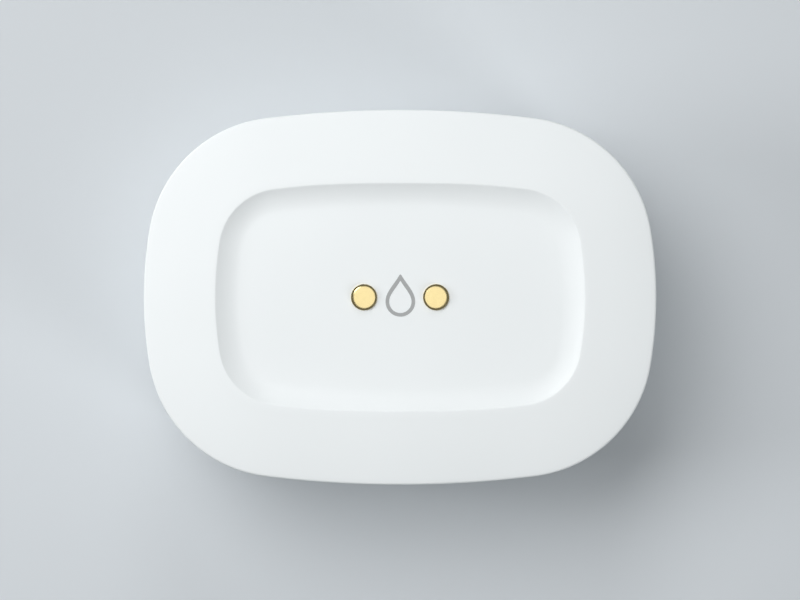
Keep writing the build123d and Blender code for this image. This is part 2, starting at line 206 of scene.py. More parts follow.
def outline_arcs():
    """Centre, radius and sweep of the eight arcs of the box's outline, from the right end on."""
    end_centre = Vector((BOX_LENGTH / 2 - END_BOW, 0, 0))
    side_centre = Vector((0, BOX_WIDTH / 2 - SIDE_BOW, 0))
    end_reach = END_BOW - CORNER
    side_reach = SIDE_BOW - CORNER
    between = side_centre - end_centre
    along = between.normalized()
    step = (end_reach ** 2 - side_reach ** 2 + between.length ** 2) / (2 * between.length)
    across = Vector((-along.y, along.x, 0)) * sqrt(end_reach ** 2 - step ** 2)
    corner = end_centre + along * step + across
    end_half = atan2(corner.y, corner.x - end_centre.x)
    side_start = atan2(corner.y - side_centre.y, corner.x)
    arcs = []
    for half_turn in (0, pi):
        turned = Matrix.Rotation(half_turn, 3, "Z")
        other_corner = Vector((-corner.x, corner.y, 0))
        arcs.append((turned @ end_centre, END_BOW, 2 * end_half))
        arcs.append((turned @ corner, CORNER, side_start - end_half))
        arcs.append((turned @ side_centre, SIDE_BOW, pi - 2 * side_start))
        arcs.append((turned @ other_corner, CORNER, side_start - end_half))
    return arcs, end_half


def carry_round(mesh):
    """Carry the section in the mesh, drawn as (distance in, 0, height), round the box's outline."""
    arcs, end_half = outline_arcs()
    centre, radius, sweep = arcs[0]
    start = centre + Matrix.Rotation(-end_half, 3, "Z") @ Vector((radius, 0, 0))
    inward = Matrix.Rotation(pi - end_half, 4, "Z")
    bmesh.ops.transform(mesh, matrix=Matrix.Translation(start) @ inward, verts=mesh.verts)
    section = list(mesh.verts) + list(mesh.edges)
    for centre, radius, sweep in arcs:
        steps = max(6, round(radius * sweep / STEP_ALONG))
        turned = bmesh.ops.spin(mesh, geom=section, cent=centre, axis=(0, 0, 1), angle=sweep,
                                steps=steps, use_merge=False)
        section = turned["geom_last"]
    bmesh.ops.remove_doubles(mesh, verts=mesh.verts, dist=0.001 * MM)


def draw_section(mesh, points):
    """Chain of edges through points given as (distance in, height)."""
    corners = [mesh.verts.new((inset, 0, height)) for inset, height in points]
    for start, end in zip(corners, corners[1:]):
        mesh.edges.new((start, end))
    return corners


def round_corners(mesh, corners, radius, segments=6):
    """Round corners of a drawn section."""
    bmesh.ops.bevel(mesh, geom=corners, offset=radius, offset_type="OFFSET", segments=segments,
                    profile=0.5, affect="VERTICES", material=-1)


def close_rings(mesh):
    """Fill the open loops at both ends of a carried section with flat faces."""
    open_edges = [edge for edge in mesh.edges if edge.is_boundary]
    bmesh.ops.holes_fill(mesh, edges=open_edges, sides=0)
    bmesh.ops.recalc_face_normals(mesh, faces=mesh.faces)


def add_block(mesh, x_range, y_range, z_range):
    """Add a box between two limits along each axis, given in millimetres."""
    low, high = (Vector(corner) * MM for corner in zip(x_range, y_range, z_range))
    size = Matrix.Diagonal((*(high - low), 1))
    bmesh.ops.create_cube(mesh, size=1, matrix=Matrix.Translation((low + high) / 2) @ size)


def crown_height(share):
    """Height of the rim at a share of its width from the dish edge outwards."""
    return RIM_TOP_Z - RIM_FALL * ((1 - CROWN_SHARE) * share + CROWN_SHARE * share ** 3)


def cove_points(count=14):
    """Arc from the dish edge down to the dish floor, where it ends level."""
    radius = (COVE_RUN ** 2 + COVE_DEPTH ** 2) / (2 * COVE_DEPTH)
    steepest = asin(COVE_RUN / radius)
    points = []
    for i in range(count + 1):
        slope = steepest * (1 - i / count)
        inset = RIM_WIDTH + COVE_RUN - radius * sin(slope)
        points.append((inset, RIM_TOP_Z - COVE_DEPTH + radius * (1 - cos(slope))))
    return points


rim_points = [(RIM_WIDTH * (1 - i / RIM_STEPS), crown_height(i / RIM_STEPS))
              for i in range(RIM_STEPS, 0, -1)]
cover_mesh = bmesh.new()
cover_line = draw_section(cover_mesh, [
    (LOOP_INSET, CEILING_Z),
    (COVER_WALL, CEILING_Z),
    (COVER_WALL, WELD_TOP_Z),
    (COVER_WALL / 2, WELD_TOP_Z),
    (COVER_WALL / 2, SEAM_Z),
    (0, SEAM_Z),
    *rim_points,
    *cove_points(),
    (LOOP_INSET, RIM_TOP_Z - COVE_DEPTH),
])
seam_corner, top_corner, dish_corner = cover_line[5], cover_line[6], cover_line[6 + RIM_STEPS]
round_corners(cover_mesh, [seam_corner], SEAM_ROUNDING, 3)
round_corners(cover_mesh, [top_corner], RIM_ROUNDING, 6)
round_corners(cover_mesh, [dish_corner], DISH_ROUNDING, 4)
carry_round(cover_mesh)
for vert in cover_mesh.verts:
    along = 1 - min(1, (vert.co.x / DISH_FLAT_LENGTH) ** 2)
    beside_edge = 1 - min(1, ((abs(vert.co.y) - DISH_HALF_WIDTH) / DISH_FLAT_REACH) ** 2)
    vert.co.y -= copysign(DISH_FLATTENING * along ** 2 * beside_edge ** 2, vert.co.y)
close_rings(cover_mesh)
for x, y in POST_PLACES:
    add_block(cover_mesh, (x - POST_HALF[0], x + POST_HALF[0]), (y - POST_HALF[1], y + POST_HALF[1]),
              (POST_FOOT_Z, BLOCK_TOP_Z))
for x in BOSS_PLACES:
    add_block(cover_mesh, (x - BOSS_HALF, x + BOSS_HALF), (-BOSS_HALF, BOSS_HALF),
              (BOSS_FOOT_Z, BLOCK_TOP_Z))
make_piece("cover_moulding", cover_mesh, white_abs, "housing", "case_plastic", "top_cover")

# Dish contacts
# Two brass studs with polished gold plating, moulded into the cover's dish. Each has a flat face
# with a chamfered rim that looks darker, and its tail stands inside on a leaf spring of the board.

HEAD_RADIUS = 1.65 * MM
HEAD_PROUD = 0.45 * MM
FACE_FLAT = 1.08 * MM
FACE_RADIUS = 1.4 * MM
FACE_DROP = 0.032 * MM
CHAMFER_RADIUS = 1.62 * MM
CHAMFER_DROP = 0.19 * MM
SHANK_RADIUS = 1.1 * MM
TAIL_Z = 16.4 * MM
DISH_Z = RIM_TOP_Z - COVE_DEPTH
TURNED_STEPS = 72
SHARP_EDGE = radians(25)
PLATING_SPREAD = 0.25


def turn_piece(points, places, radius=0, corners=(), segments=5):
    """Closed round pieces about upright axes, from their half section as (radius, height)."""
    mesh = bmesh.new()
    line = draw_section(mesh, points)
    if radius:
        round_corners(mesh, [line[i] for i in corners], radius, segments)
    bmesh.ops.spin(mesh, geom=list(mesh.verts) + list(mesh.edges), cent=(0, 0, 0), axis=(0, 0, 1),
                   angle=2 * pi, steps=TURNED_STEPS, use_merge=True)
    bmesh.ops.remove_doubles(mesh, verts=mesh.verts, dist=0.001 * MM)
    bmesh.ops.recalc_face_normals(mesh, faces=mesh.faces)
    first = list(mesh.verts) + list(mesh.edges) + list(mesh.faces)
    for x, y in places[1:]:
        copy = bmesh.ops.duplicate(mesh, geom=first)["geom"]
        copied = [part for part in copy if isinstance(part, bmesh.types.BMVert)]
        bmesh.ops.translate(mesh, vec=(x, y, 0), verts=copied)
    middle = [part for part in first if isinstance(part, bmesh.types.BMVert)]
    bmesh.ops.translate(mesh, vec=(*places[0], 0), verts=middle)
    return mesh


def plated_metal(name, colour, darker, roughness, mark_size):
    """Plated metal: a smooth bright skin with fine handling marks that break up its gloss."""
    material = new_material(name)
    place = add_node(material, "ShaderNodeTexCoord").outputs["Object"]
    marks = add_node(material, "ShaderNodeTexNoise", Vector=place, Scale=1 / mark_size, Detail=4.0)
    tint = add_node(material, "ShaderNodeMix", {"data_type": "RGBA"}, Factor=marks.outputs["Fac"])
    tint.inputs["A"].default_value = to_linear(colour)
    tint.inputs["B"].default_value = to_linear(darker)
    gloss = add_node(material, "ShaderNodeMapRange", Value=marks.outputs["Fac"])
    gloss.inputs["To Min"].default_value = roughness * (1 - PLATING_SPREAD)
    gloss.inputs["To Max"].default_value = roughness * (1 + PLATING_SPREAD)
    shader = add_node(material, "ShaderNodeBsdfPrincipled", Base_Color=tint.outputs["Result"],
                      Roughness=gloss.outputs["Result"], Metallic=1.0)
    return finish_material(material, shader)


gold = plated_metal("gold plating on turned brass", "#F2DFA6", "#EBD69C", 0.09, 0.5 * MM)
for side, x in zip(("left", "right"), (place * MM for place in BOSS_PLACES)):
    face_z = DISH_Z + HEAD_PROUD
    stud = turn_piece([(0, face_z), (FACE_FLAT, face_z), (FACE_RADIUS, face_z - FACE_DROP),
                       (CHAMFER_RADIUS, face_z - FACE_DROP - CHAMFER_DROP), (HEAD_RADIUS, DISH_Z),
                       (SHANK_RADIUS, DISH_Z), (SHANK_RADIUS, TAIL_Z), (0, TAIL_Z)], [(x, 0)])
    contact = make_piece(f"dish_contact_{side}", stud, gold, "housing", "gold_plate",
                         f"top_probe_{side}")
    contact.data.set_sharp_from_angle(angle=SHARP_EDGE)

# Drop sign
# A plain water drop between the contacts, pad printed in grey ink straight on the dish. The ink
# is a film about two hundredths of a millimetre thick, in an outline of one width.

DROP_TIP_Y = 2.98 * MM
DROP_WAIST_Y = -0.55 * MM
DROP_FOOT_Y = -2.42 * MM
DROP_HALF_WIDTH = 1.85 * MM
DROP_LINE = 0.45 * MM
DROP_FLANK = radians(30)
DROP_TIP_ROUND = 0.3 * MM
DROP_X = 0.04 * MM
INK_FILM = 0.012 * MM
INK_MOTTLE = 0.3 * MM
QUARTER_ARC = 0.5523             # length of the handles that make a quarter of an ellipse
TIP_HANDLE = 0.4                 # other handles, as shares of the round tip and of the flank's height
FLANK_HANDLE = 0.4
WAIST_HANDLE = 0.34


def drop_spline(curve, tip_y, waist, foot_y, tip_round):
    """Closed outline of a drop with straight flanks; its flanks stop short of the tip to round it."""
    flank = Vector((sin(DROP_FLANK), -cos(DROP_FLANK), 0))
    straight = FLANK_HANDLE * (tip_y - DROP_WAIST_Y)
    rise = Vector((0, WAIST_HANDLE * (tip_y - DROP_WAIST_Y), 0))
    drop = Vector((0, QUARTER_ARC * (DROP_WAIST_Y - foot_y), 0))
    tip = Vector((0, tip_y, 0))
    left_side = Vector((-1, 1, 1))
    near_tip = tip + flank * tip_round
    before_tip = tip + flank * tip_round * TIP_HANDLE
    after_tip = tip + flank * (tip_round + straight)
    side = Vector((waist, DROP_WAIST_Y, 0))
    foot = Vector((0, foot_y, 0))
    along_foot = Vector((QUARTER_ARC * waist, 0, 0))
    spline = curve.splines.new("BEZIER")
    spline.bezier_points.add(4)
    spline.use_cyclic_u = True
    points = [
        (near_tip, before_tip, after_tip),
        (side, side + rise, side - drop),
        (foot, foot + along_foot, foot - along_foot),
        (side * left_side, (side - drop) * left_side, (side + rise) * left_side),
        (near_tip * left_side, after_tip * left_side, before_tip * left_side),
    ]
    for point, (place, before, after) in zip(spline.bezier_points, points):
        point.co = place
        point.handle_left = before
        point.handle_right = after


def printed_ink(name, colour, darker):
    """Pad printing ink: a matt film with a slightly uneven cover."""
    material = new_material(name)
    place = add_node(material, "ShaderNodeTexCoord").outputs["Object"]
    cover = add_node(material, "ShaderNodeTexNoise", Vector=place, Scale=1 / INK_MOTTLE, Detail=3.0)
    tint = add_node(material, "ShaderNodeMix", {"data_type": "RGBA"}, Factor=cover.outputs["Fac"])
    tint.inputs["A"].default_value = to_linear(colour)
    tint.inputs["B"].default_value = to_linear(darker)
    shader = add_node(material, "ShaderNodeBsdfPrincipled", Base_Color=tint.outputs["Result"],
                      Roughness=0.6)
    return finish_material(material, shader)


drop_curve = bpy.data.curves.new("drop", "CURVE")
drop_curve.dimensions = "2D"
drop_curve.fill_mode = "BOTH"
drop_curve.extrude = INK_FILM
drop_curve.resolution_u = 24
drop_spline(drop_curve, DROP_TIP_Y, DROP_HALF_WIDTH, DROP_FOOT_Y, DROP_TIP_ROUND)
drop_spline(drop_curve, DROP_TIP_Y - DROP_LINE / sin(DROP_FLANK), DROP_HALF_WIDTH - DROP_LINE,
            DROP_FOOT_Y + DROP_LINE, DROP_TIP_ROUND / 4)
drop_object = bpy.data.objects.new("drop", drop_curve)
drop_mesh = bmesh.new()
drop_mesh.from_mesh(bpy.data.meshes.new_from_object(drop_object))
bpy.data.objects.remove(drop_object)
bmesh.ops.remove_doubles(drop_mesh, verts=drop_mesh.verts, dist=0.0005 * MM)
bmesh.ops.recalc_face_normals(drop_mesh, faces=drop_mesh.faces)
bmesh.ops.translate(drop_mesh, vec=(DROP_X, 0, DISH_Z + INK_FILM / 2), verts=drop_mesh.verts)
grey_ink = printed_ink("pad printing ink, grey", "#A8AAAA", "#9FA1A2")
drop = make_piece("drop_print", drop_mesh, grey_ink, "housing", "case_plastic")
for face in drop.data.polygons:
    face.use_smooth = False

# Floor contacts
# Two gold plated brass pins pressed into bosses of the base. Their heads stand just above the
# floor beside the feet, and their bodies reach up to the board.

FLOOR_CONTACTS = [(-10 * MM, -9.5 * MM), (10 * MM, -9.5 * MM)]
PIN_FACE_Z = 0.1 * MM
UNDERSIDE_Z = 0.6 * MM
BOARD_UNDER_Z = 6.0 * MM

for side, place in zip(("left", "right"), FLOOR_CONTACTS):
    pin = turn_piece([(0, PIN_FACE_Z), (HEAD_RADIUS, PIN_FACE_Z), (HEAD_RADIUS, UNDERSIDE_Z),
                      (SHANK_RADIUS, UNDERSIDE_Z), (SHANK_RADIUS, BOARD_UNDER_Z),
                      (0, BOARD_UNDER_Z)], [place], radius=0.22 * MM, corners=(1,))
    flatten_shading(make_piece(f"floor_contact_{side}", pin, gold, "housing", "gold_plate",
                               f"floor_probe_{side}"))

# Rubber feet
# Four grey rubber discs, punched from sheet and stuck to flat seats under the corners. The rubber
# is matt and its punched rim is slightly rounded.

FOOT_PLACES = [(x * MM, y * MM) for x in (-21.3, 21.3) for y in (-11.2, 11.2)]
FOOT_RADIUS = 3.2 * MM
RUBBER_BLOOM = 1.5 * MM
SKIN_RELIEF = 0.008 * MM


def soft_rubber(name, colour, darker, roughness, grain):
    """Rubber or silicone: a matt skin with a slight bloom and a fine grain."""
    material = new_material(name)
    place = add_node(material, "ShaderNodeTexCoord").outputs["Object"]
    bloom = add_node(material, "ShaderNodeTexNoise", Vector=place, Scale=1 / RUBBER_BLOOM, Detail=3.0)
    tint = add_node(material, "ShaderNodeMix", {"data_type": "RGBA"}, Factor=bloom.outputs["Fac"])
    tint.inputs["A"].default_value = to_linear(colour)
    tint.inputs["B"].default_value = to_linear(darker)
    skin = add_node(material, "ShaderNodeTexNoise", Vector=place, Scale=1 / grain, Detail=2.0)
    bump = add_node(material, "ShaderNodeBump", Height=skin.outputs["Fac"], Distance=SKIN_RELIEF)
    shader = add_node(material, "ShaderNodeBsdfPrincipled", Base_Color=tint.outputs["Result"],
                      Roughness=roughness, Normal=bump.outputs["Normal"], IOR=1.43)
    return finish_material(material, shader)


grey_rubber = soft_rubber("punched nitrile rubber, grey", "#85888B", "#7A7D80", 0.75, 0.2 * MM)
feet = turn_piece([(0, 0), (FOOT_RADIUS, 0), (FOOT_RADIUS, UNDERSIDE_Z), (0, UNDERSIDE_Z)],
                  FOOT_PLACES, radius=0.18 * MM, corners=(1,))
make_piece("rubber_feet", feet, grey_rubber, "housing", "pad_rubber", "foot_pads")

# Circuit board
# Glass epoxy laminate under green solder resist. The copper tracks show through the resist as
# lighter lines, plated holes shine through it, and the sawn edge is bare yellowish laminate.

TRACK_SPACING = 1.1 * MM
TRACK_WIDTH = 0.2 * MM
VIA_SPACING = 2.4 * MM
VIA_RADIUS = 0.2 * MM
COPPER_RELIEF = 0.02 * MM


def coated_laminate(name, resist, track, bare):
    """Printed circuit laminate: resist over tracks and plated holes on its faces, bare at its edge."""
    material = new_material(name)
    place = add_node(material, "ShaderNodeTexCoord").outputs["Object"]
    layout = {"offset": 0.37, "offset_frequency": 3, "squash": 0.55, "squash_frequency": 4}
    tracks = add_node(material, "ShaderNodeTexBrick", layout, Vector=place, Scale=1 / TRACK_SPACING,
                      Color1=to_linear(resist), Color2=to_linear(resist), Mortar=to_linear(track),
                      Mortar_Size=TRACK_WIDTH / TRACK_SPACING / 2, Brick_Width=3.4, Row_Height=1.0)
    holes = add_node(material, "ShaderNodeTexVoronoi", Vector=place, Scale=1 / VIA_SPACING)
    plated = add_node(material, "ShaderNodeMath", {"operation": "LESS_THAN"})
    material.node_tree.links.new(holes.outputs["Distance"], plated.inputs[0])
    plated.inputs[1].default_value = VIA_RADIUS / VIA_SPACING
    face = add_node(material, "ShaderNodeMix", {"data_type": "RGBA"}, Factor=plated.outputs["Value"])
    material.node_tree.links.new(tracks.outputs["Color"], face.inputs["A"])
    face.inputs["B"].default_value = to_linear("#CDB36A")
    facing = add_node(material, "ShaderNodeSeparateXYZ",
                      Vector=add_node(material, "ShaderNodeNewGeometry").outputs["True Normal"])
    level = add_node(material, "ShaderNodeMath", {"operation": "ABSOLUTE"})
    material.node_tree.links.new(facing.outputs["Z"], level.inputs[0])
    tint = add_node(material, "ShaderNodeMix", {"data_type": "RGBA"}, Factor=level.outputs["Value"])
    tint.inputs["A"].default_value = to_linear(bare)
    material.node_tree.links.new(face.outputs["Result"], tint.inputs["B"])
    bump = add_node(material, "ShaderNodeBump", Height=tracks.outputs["Fac"], Distance=COPPER_RELIEF)
    shader = add_node(material, "ShaderNodeBsdfPrincipled", Base_Color=tint.outputs["Result"],
                      Roughness=0.35, Normal=bump.outputs["Normal"], IOR=1.5)
    return finish_material(material, shader)


green_board = coated_laminate("glass epoxy laminate, green resist", "#1F6B45", "#2F8458", "#B9A76B")
board = make_piece("main_board", solid_copy("circuit_board"), green_board, "housing",
                   "board_laminate", "circuit_board")
soften_edges(board, 0.06 * MM)

# Radio board
# A small black laminate soldered flat on the main board by half holes along its edges. Its
# antenna is a bare gold track in square turns, beside the shield can.

# All in millimetres, as add_block takes them
BOARD_TOP_Z = 7.0
RADIO_TOP_Z = 7.6
GOLD_TOP_Z = 7.63
TURN_TOP_Z = 7.625               # a little lower, so that the track's bars and turns aren't flush
RADIO_EDGES_Y = (-18.6, -11.2)
HALF_HOLES = 8
HALF_HOLES_FROM_X = -16.9
HALF_HOLE_PITCH = 1.27
HALF_HOLE_PAD = (0.35, 0.12)
ANTENNA_X = (-8.1, -5.9)
ANTENNA_FROM_Y = -17.9
ANTENNA_BARS = 6
ANTENNA_WIDTH = 0.35
ANTENNA_PITCH = 1.15

black_board = coated_laminate("glass epoxy laminate, black resist", "#22262A", "#30363B", "#A8976A")
radio = make_piece("radio_board", solid_copy("radio_carrier"), black_board, "housing",
                   "board_laminate", "radio_carrier")
soften_edges(radio, 0.05 * MM)

edge_pads = bmesh.new()
for i in range(HALF_HOLES):
    x = HALF_HOLES_FROM_X + i * HALF_HOLE_PITCH
    for y in RADIO_EDGES_Y:
        add_block(edge_pads, (x - HALF_HOLE_PAD[0], x + HALF_HOLE_PAD[0]),
                  (y - HALF_HOLE_PAD[1], y + HALF_HOLE_PAD[1]), (BOARD_TOP_Z, GOLD_TOP_Z))
half_holes = make_piece("radio_edge_pads", edge_pads, gold, "housing", "gold_plate")
soften_edges(half_holes, 0.05 * MM)

antenna_mesh = bmesh.new()
for i in range(ANTENNA_BARS):
    y = ANTENNA_FROM_Y + i * ANTENNA_PITCH
    add_block(antenna_mesh, ANTENNA_X, (y, y + ANTENNA_WIDTH), (RADIO_TOP_Z, GOLD_TOP_Z))
    if i < ANTENNA_BARS - 1:
        turn_x = ANTENNA_X[1] - ANTENNA_WIDTH if i % 2 else ANTENNA_X[0]
        add_block(antenna_mesh, (turn_x, turn_x + ANTENNA_WIDTH),
                  (y, y + ANTENNA_PITCH + ANTENNA_WIDTH), (RADIO_TOP_Z, TURN_TOP_Z))
make_piece("radio_antenna", antenna_mesh, gold, "housing", "gold_plate")

# Shield can
# A drawn can of tinned steel over the radio's chip. Drawing leaves round edges, and its rim is
# soldered to the radio board.

tin = plated_metal("tinned steel, drawn", "#C9CCCD", "#B6BABC", 0.38, 1.2 * MM)
can = make_piece("shield_can", solid_copy("radio_shield"), tin, "housing", "shield_tin",
                 "radio_shield")
soften_edges(can, 0.3 * MM, 3)

# Crystal
# The radio's timing crystal: a dark ceramic tray with a plated lid seam-welded on top, soldered to
# the board beside the antenna.

# In millimetres, as add_block takes them
CRYSTAL_X = (-4.6, -1.4)
CRYSTAL_Y = (-14.65, -12.15)
TRAY_TOP_Z = 7.5
LID_TOP_Z = 7.9
LID_STEP = 0.15
SPECKLE = 0.12 * MM


def fired_ceramic(name, colour, darker, roughness):
    """Fired ceramic or filled epoxy: dense and matt, with fine speckles."""
    material = new_material(name)
    place = add_node(material, "ShaderNodeTexCoord").outputs["Object"]
    speckle = add_node(material, "ShaderNodeTexNoise", Vector=place, Scale=1 / SPECKLE, Detail=3.0)
    tint = add_node(material, "ShaderNodeMix", {"data_type": "RGBA"}, Factor=speckle.outputs["Fac"])
    tint.inputs["A"].default_value = to_linear(colour)
    tint.inputs["B"].default_value = to_linear(darker)
    shader = add_node(material, "ShaderNodeBsdfPrincipled", Base_Color=tint.outputs["Result"],
                      Roughness=roughness)
    return finish_material(material, shader)


ceramic_tray = bmesh.new()
add_block(ceramic_tray, CRYSTAL_X, CRYSTAL_Y, (BOARD_TOP_Z, TRAY_TOP_Z))
lid_mesh = bmesh.new()
add_block(lid_mesh, (CRYSTAL_X[0] + LID_STEP, CRYSTAL_X[1] - LID_STEP),
          (CRYSTAL_Y[0] + LID_STEP, CRYSTAL_Y[1] - LID_STEP), (TRAY_TOP_Z, LID_TOP_Z))
dark_ceramic = fired_ceramic("alumina ceramic, dark", "#4A4640", "#3C3934", 0.6)
tray = make_piece("crystal_tray", ceramic_tray, dark_ceramic, "housing", "component_ceramic",
                  "crystal")
soften_edges(tray, 0.08 * MM)
lid = make_piece("crystal_lid", lid_mesh, tin, "housing", "shield_tin", "crystal")
soften_edges(lid, 0.12 * MM)

# Small parts on the board
# Ceramic capacitors, a resistor and the temperature sensor have tinned ends that are soldered to
# the board. The regulator and the controller are moulded in black epoxy, with tinned leads.

# All in millimetres, and for each part its place x and y, its length, width and height
CAPACITORS = [(6, -13.4, 2, 1.25, 1.2), (6, -16, 2, 1.25, 1.2), (-11.5, -5, 2, 1.25, 1.2)]
RESISTOR = (3, -15.2, 1.6, 0.8, 0.5)
TEMPERATURE_SENSOR = (23, -5, 1.6, 0.8, 0.8)
REGULATOR = (9.5, -5, 3, 1.7, 1.1)
CONTROLLER = (14.2, -9.6, 4, 4, 1.0)
END_CAP = 0.4
BODY_END = 0.28                  # how far the body's end lies inside its cap's outer face
CAP_PROUD = 0.03
SOLDER_REACH = 0.25
SOLDER_INSET = 0.04
SOLDER_UNDER = 0.1
BODY_GAP = 0.05
SMALL_LEADS = 3
SMALL_LEAD_PITCH = 0.95
SMALL_LEAD = (0.2, 0.8, 1.4, 0.18)        # half width, from and to the middle line, thickness
CHIP_LEADS = 7
CHIP_LEAD_PITCH = 0.5
CHIP_LEAD = (0.13, 1.7, 2.12, 0.14)


def chip_body(mesh, x, y, length, width, height):
    """Middle of a chip part, a little thinner than its end caps."""
    half = length / 2 - BODY_END
    add_block(mesh, (x - half, x + half), (y - width / 2 + CAP_PROUD, y + width / 2 - CAP_PROUD),
              (BOARD_TOP_Z + CAP_PROUD, BOARD_TOP_Z + height - CAP_PROUD))


def chip_ends(mesh, x, y, length, width, height):
    """Tinned end caps and the solder that creeps up them."""
    for side in (-1, 1):
        cap = sorted((x + side * length / 2, x + side * (length / 2 - END_CAP)))
        add_block(mesh, cap, (y - width / 2, y + width / 2), (BOARD_TOP_Z, BOARD_TOP_Z + height))
        solder = sorted((x + side * (length / 2 - SOLDER_UNDER), x + side * (length / 2 + SOLDER_REACH)))
        add_block(mesh, solder, (y - width / 2 + SOLDER_INSET, y + width / 2 - SOLDER_INSET),
                  (BOARD_TOP_Z, BOARD_TOP_Z + height / 3))


def epoxy_body(mesh, x, y, length, width, height):
    """Moulded body of a chip with leads."""
    add_block(mesh, (x - length / 2, x + length / 2), (y - width / 2, y + width / 2),
              (BOARD_TOP_Z + BODY_GAP, BOARD_TOP_Z + height))


def lead_blocks(mesh, x, y, lead, count, pitch, turned=False):
    """Rows of flat leads on two opposite sides of a moulded body, or on its other two sides."""
    half_width, start, end, thickness = lead
    for i in range(count):
        along = (i - (count - 1) / 2) * pitch
        for side in (-1, 1):
            near, far = sorted((side * start, side * end))
            row = (along - half_width, along + half_width)
            x_range, y_range = ((near, far), row) if turned else (row, (near, far))
            add_block(mesh, [x + offset for offset in x_range], [y + offset for offset in y_range],
                      (BOARD_TOP_Z, BOARD_TOP_Z + thickness))


capacitor_mesh = bmesh.new()
ends_mesh = bmesh.new()
for capacitor in CAPACITORS:
    chip_body(capacitor_mesh, *capacitor)
    chip_ends(ends_mesh, *capacitor)
chip_ends(ends_mesh, *RESISTOR)
chip_ends(ends_mesh, *TEMPERATURE_SENSOR)
dark_mesh = bmesh.new()
chip_body(dark_mesh, *RESISTOR)
epoxy_body(dark_mesh, *REGULATOR)
epoxy_body(dark_mesh, *CONTROLLER)
lead_blocks(ends_mesh, *REGULATOR[:2], SMALL_LEAD, SMALL_LEADS, SMALL_LEAD_PITCH)
lead_blocks(ends_mesh, *CONTROLLER[:2], CHIP_LEAD, CHIP_LEADS, CHIP_LEAD_PITCH)
lead_blocks(ends_mesh, *CONTROLLER[:2], CHIP_LEAD, CHIP_LEADS, CHIP_LEAD_PITCH, turned=True)
sensor_mesh = bmesh.new()
chip_body(sensor_mesh, *TEMPERATURE_SENSOR)

tan_ceramic = fired_ceramic("barium titanate ceramic, tan", "#B79470", "#A48260", 0.55)
black_epoxy = fired_ceramic("moulded epoxy, black", "#26282A", "#1E2022", 0.5)
white_ceramic = fired_ceramic("alumina ceramic, white", "#DAD9D2", "#CCCBC3", 0.5)
for name, mesh, material, nodes in (
        ("capacitors", capacitor_mesh, tan_ceramic, ["board_components"]),
        ("dark_chips", dark_mesh, black_epoxy, ["board_components"]),
        ("temperature_sensor", sensor_mesh, white_ceramic, ["thermistor"])):
    soften_edges(make_piece(name, mesh, material, "housing", "component_ceramic", *nodes), 0.06 * MM)
soften_edges(make_piece("tinned_ends", ends_mesh, tin, "housing", "shield_tin"), 0.05 * MM)

# Status light
# A side-looking light-emitting diode: a white moulded body with a clear epoxy window, set
# against a frosted bar that carries the light out through the front wall.

# In millimetres, as add_block takes them
DIODE_X = (-1.6, 1.6)
DIODE_Y = (-19.6, -18.2)
DIODE_TOP_Z = 8.8
WINDOW_X = (-1.2, 1.2)
WINDOW_Y = (-20.2, -19.6)
WINDOW_TOP_Z = 8.6
FROST_SPREAD = 0.08


def clear_plastic(name, colour, roughness, transmission, mark_size):
    """Clear or frosted moulded plastic that lets part of the light through."""
    material = new_material(name)
    place = add_node(material, "ShaderNodeTexCoord").outputs["Object"]
    frost = add_node(material, "ShaderNodeTexNoise", Vector=place, Scale=1 / mark_size, Detail=2.0)
    gloss = add_node(material, "ShaderNodeMapRange", Value=frost.outputs["Fac"])
    gloss.inputs["To Min"].default_value = roughness - FROST_SPREAD
    gloss.inputs["To Max"].default_value = roughness + FROST_SPREAD
    shader = add_node(material, "ShaderNodeBsdfPrincipled", Base_Color=to_linear(colour),
                      Roughness=gloss.outputs["Result"], Transmission_Weight=transmission, IOR=1.58)
    return finish_material(material, shader)


diode_mesh = bmesh.new()
add_block(diode_mesh, DIODE_X, DIODE_Y, (BOARD_TOP_Z, DIODE_TOP_Z))
diode = make_piece("diode_body", diode_mesh, white_ceramic, "housing", "led_package", "status_led")
soften_edges(diode, 0.1 * MM)
window_mesh = bmesh.new()
add_block(window_mesh, WINDOW_X, WINDOW_Y, (BOARD_TOP_Z, WINDOW_TOP_Z))
clear_epoxy = clear_plastic("cast epoxy, clear", "#F2F4EE", 0.15, 0.8, 0.3 * MM)
window = make_piece("diode_window", window_mesh, clear_epoxy, "housing", "led_package",
                    "status_led")
soften_edges(window, 0.25 * MM, 4)
frosted = clear_plastic("moulded polycarbonate, frosted", "#EEF0F0", 0.4, 0.2, 0.2 * MM)
pipe = make_piece("light_bar", solid_copy("light_pipe"), frosted, "housing", "light_pipe_plastic",
                  "light_pipe")
soften_edges(pipe, 0.15 * MM, 3)

# Pairing switch
# A small push switch hangs under the board: a black moulded body with four riveted corners and a
# square plunger that rests on the grey pairing button below.

# In millimetres, as add_block takes them
SWITCH_Y = -11.0
RIVET_REACH = 2.3
PLUNGER_HALF = 1.0
PLUNGER_Z = (3.0, 3.43)

RIVET_RADIUS = 0.42 * MM
RIVET_HEAD_Z = 3.7 * MM
RIVET_ROOT_Z = 3.9 * MM

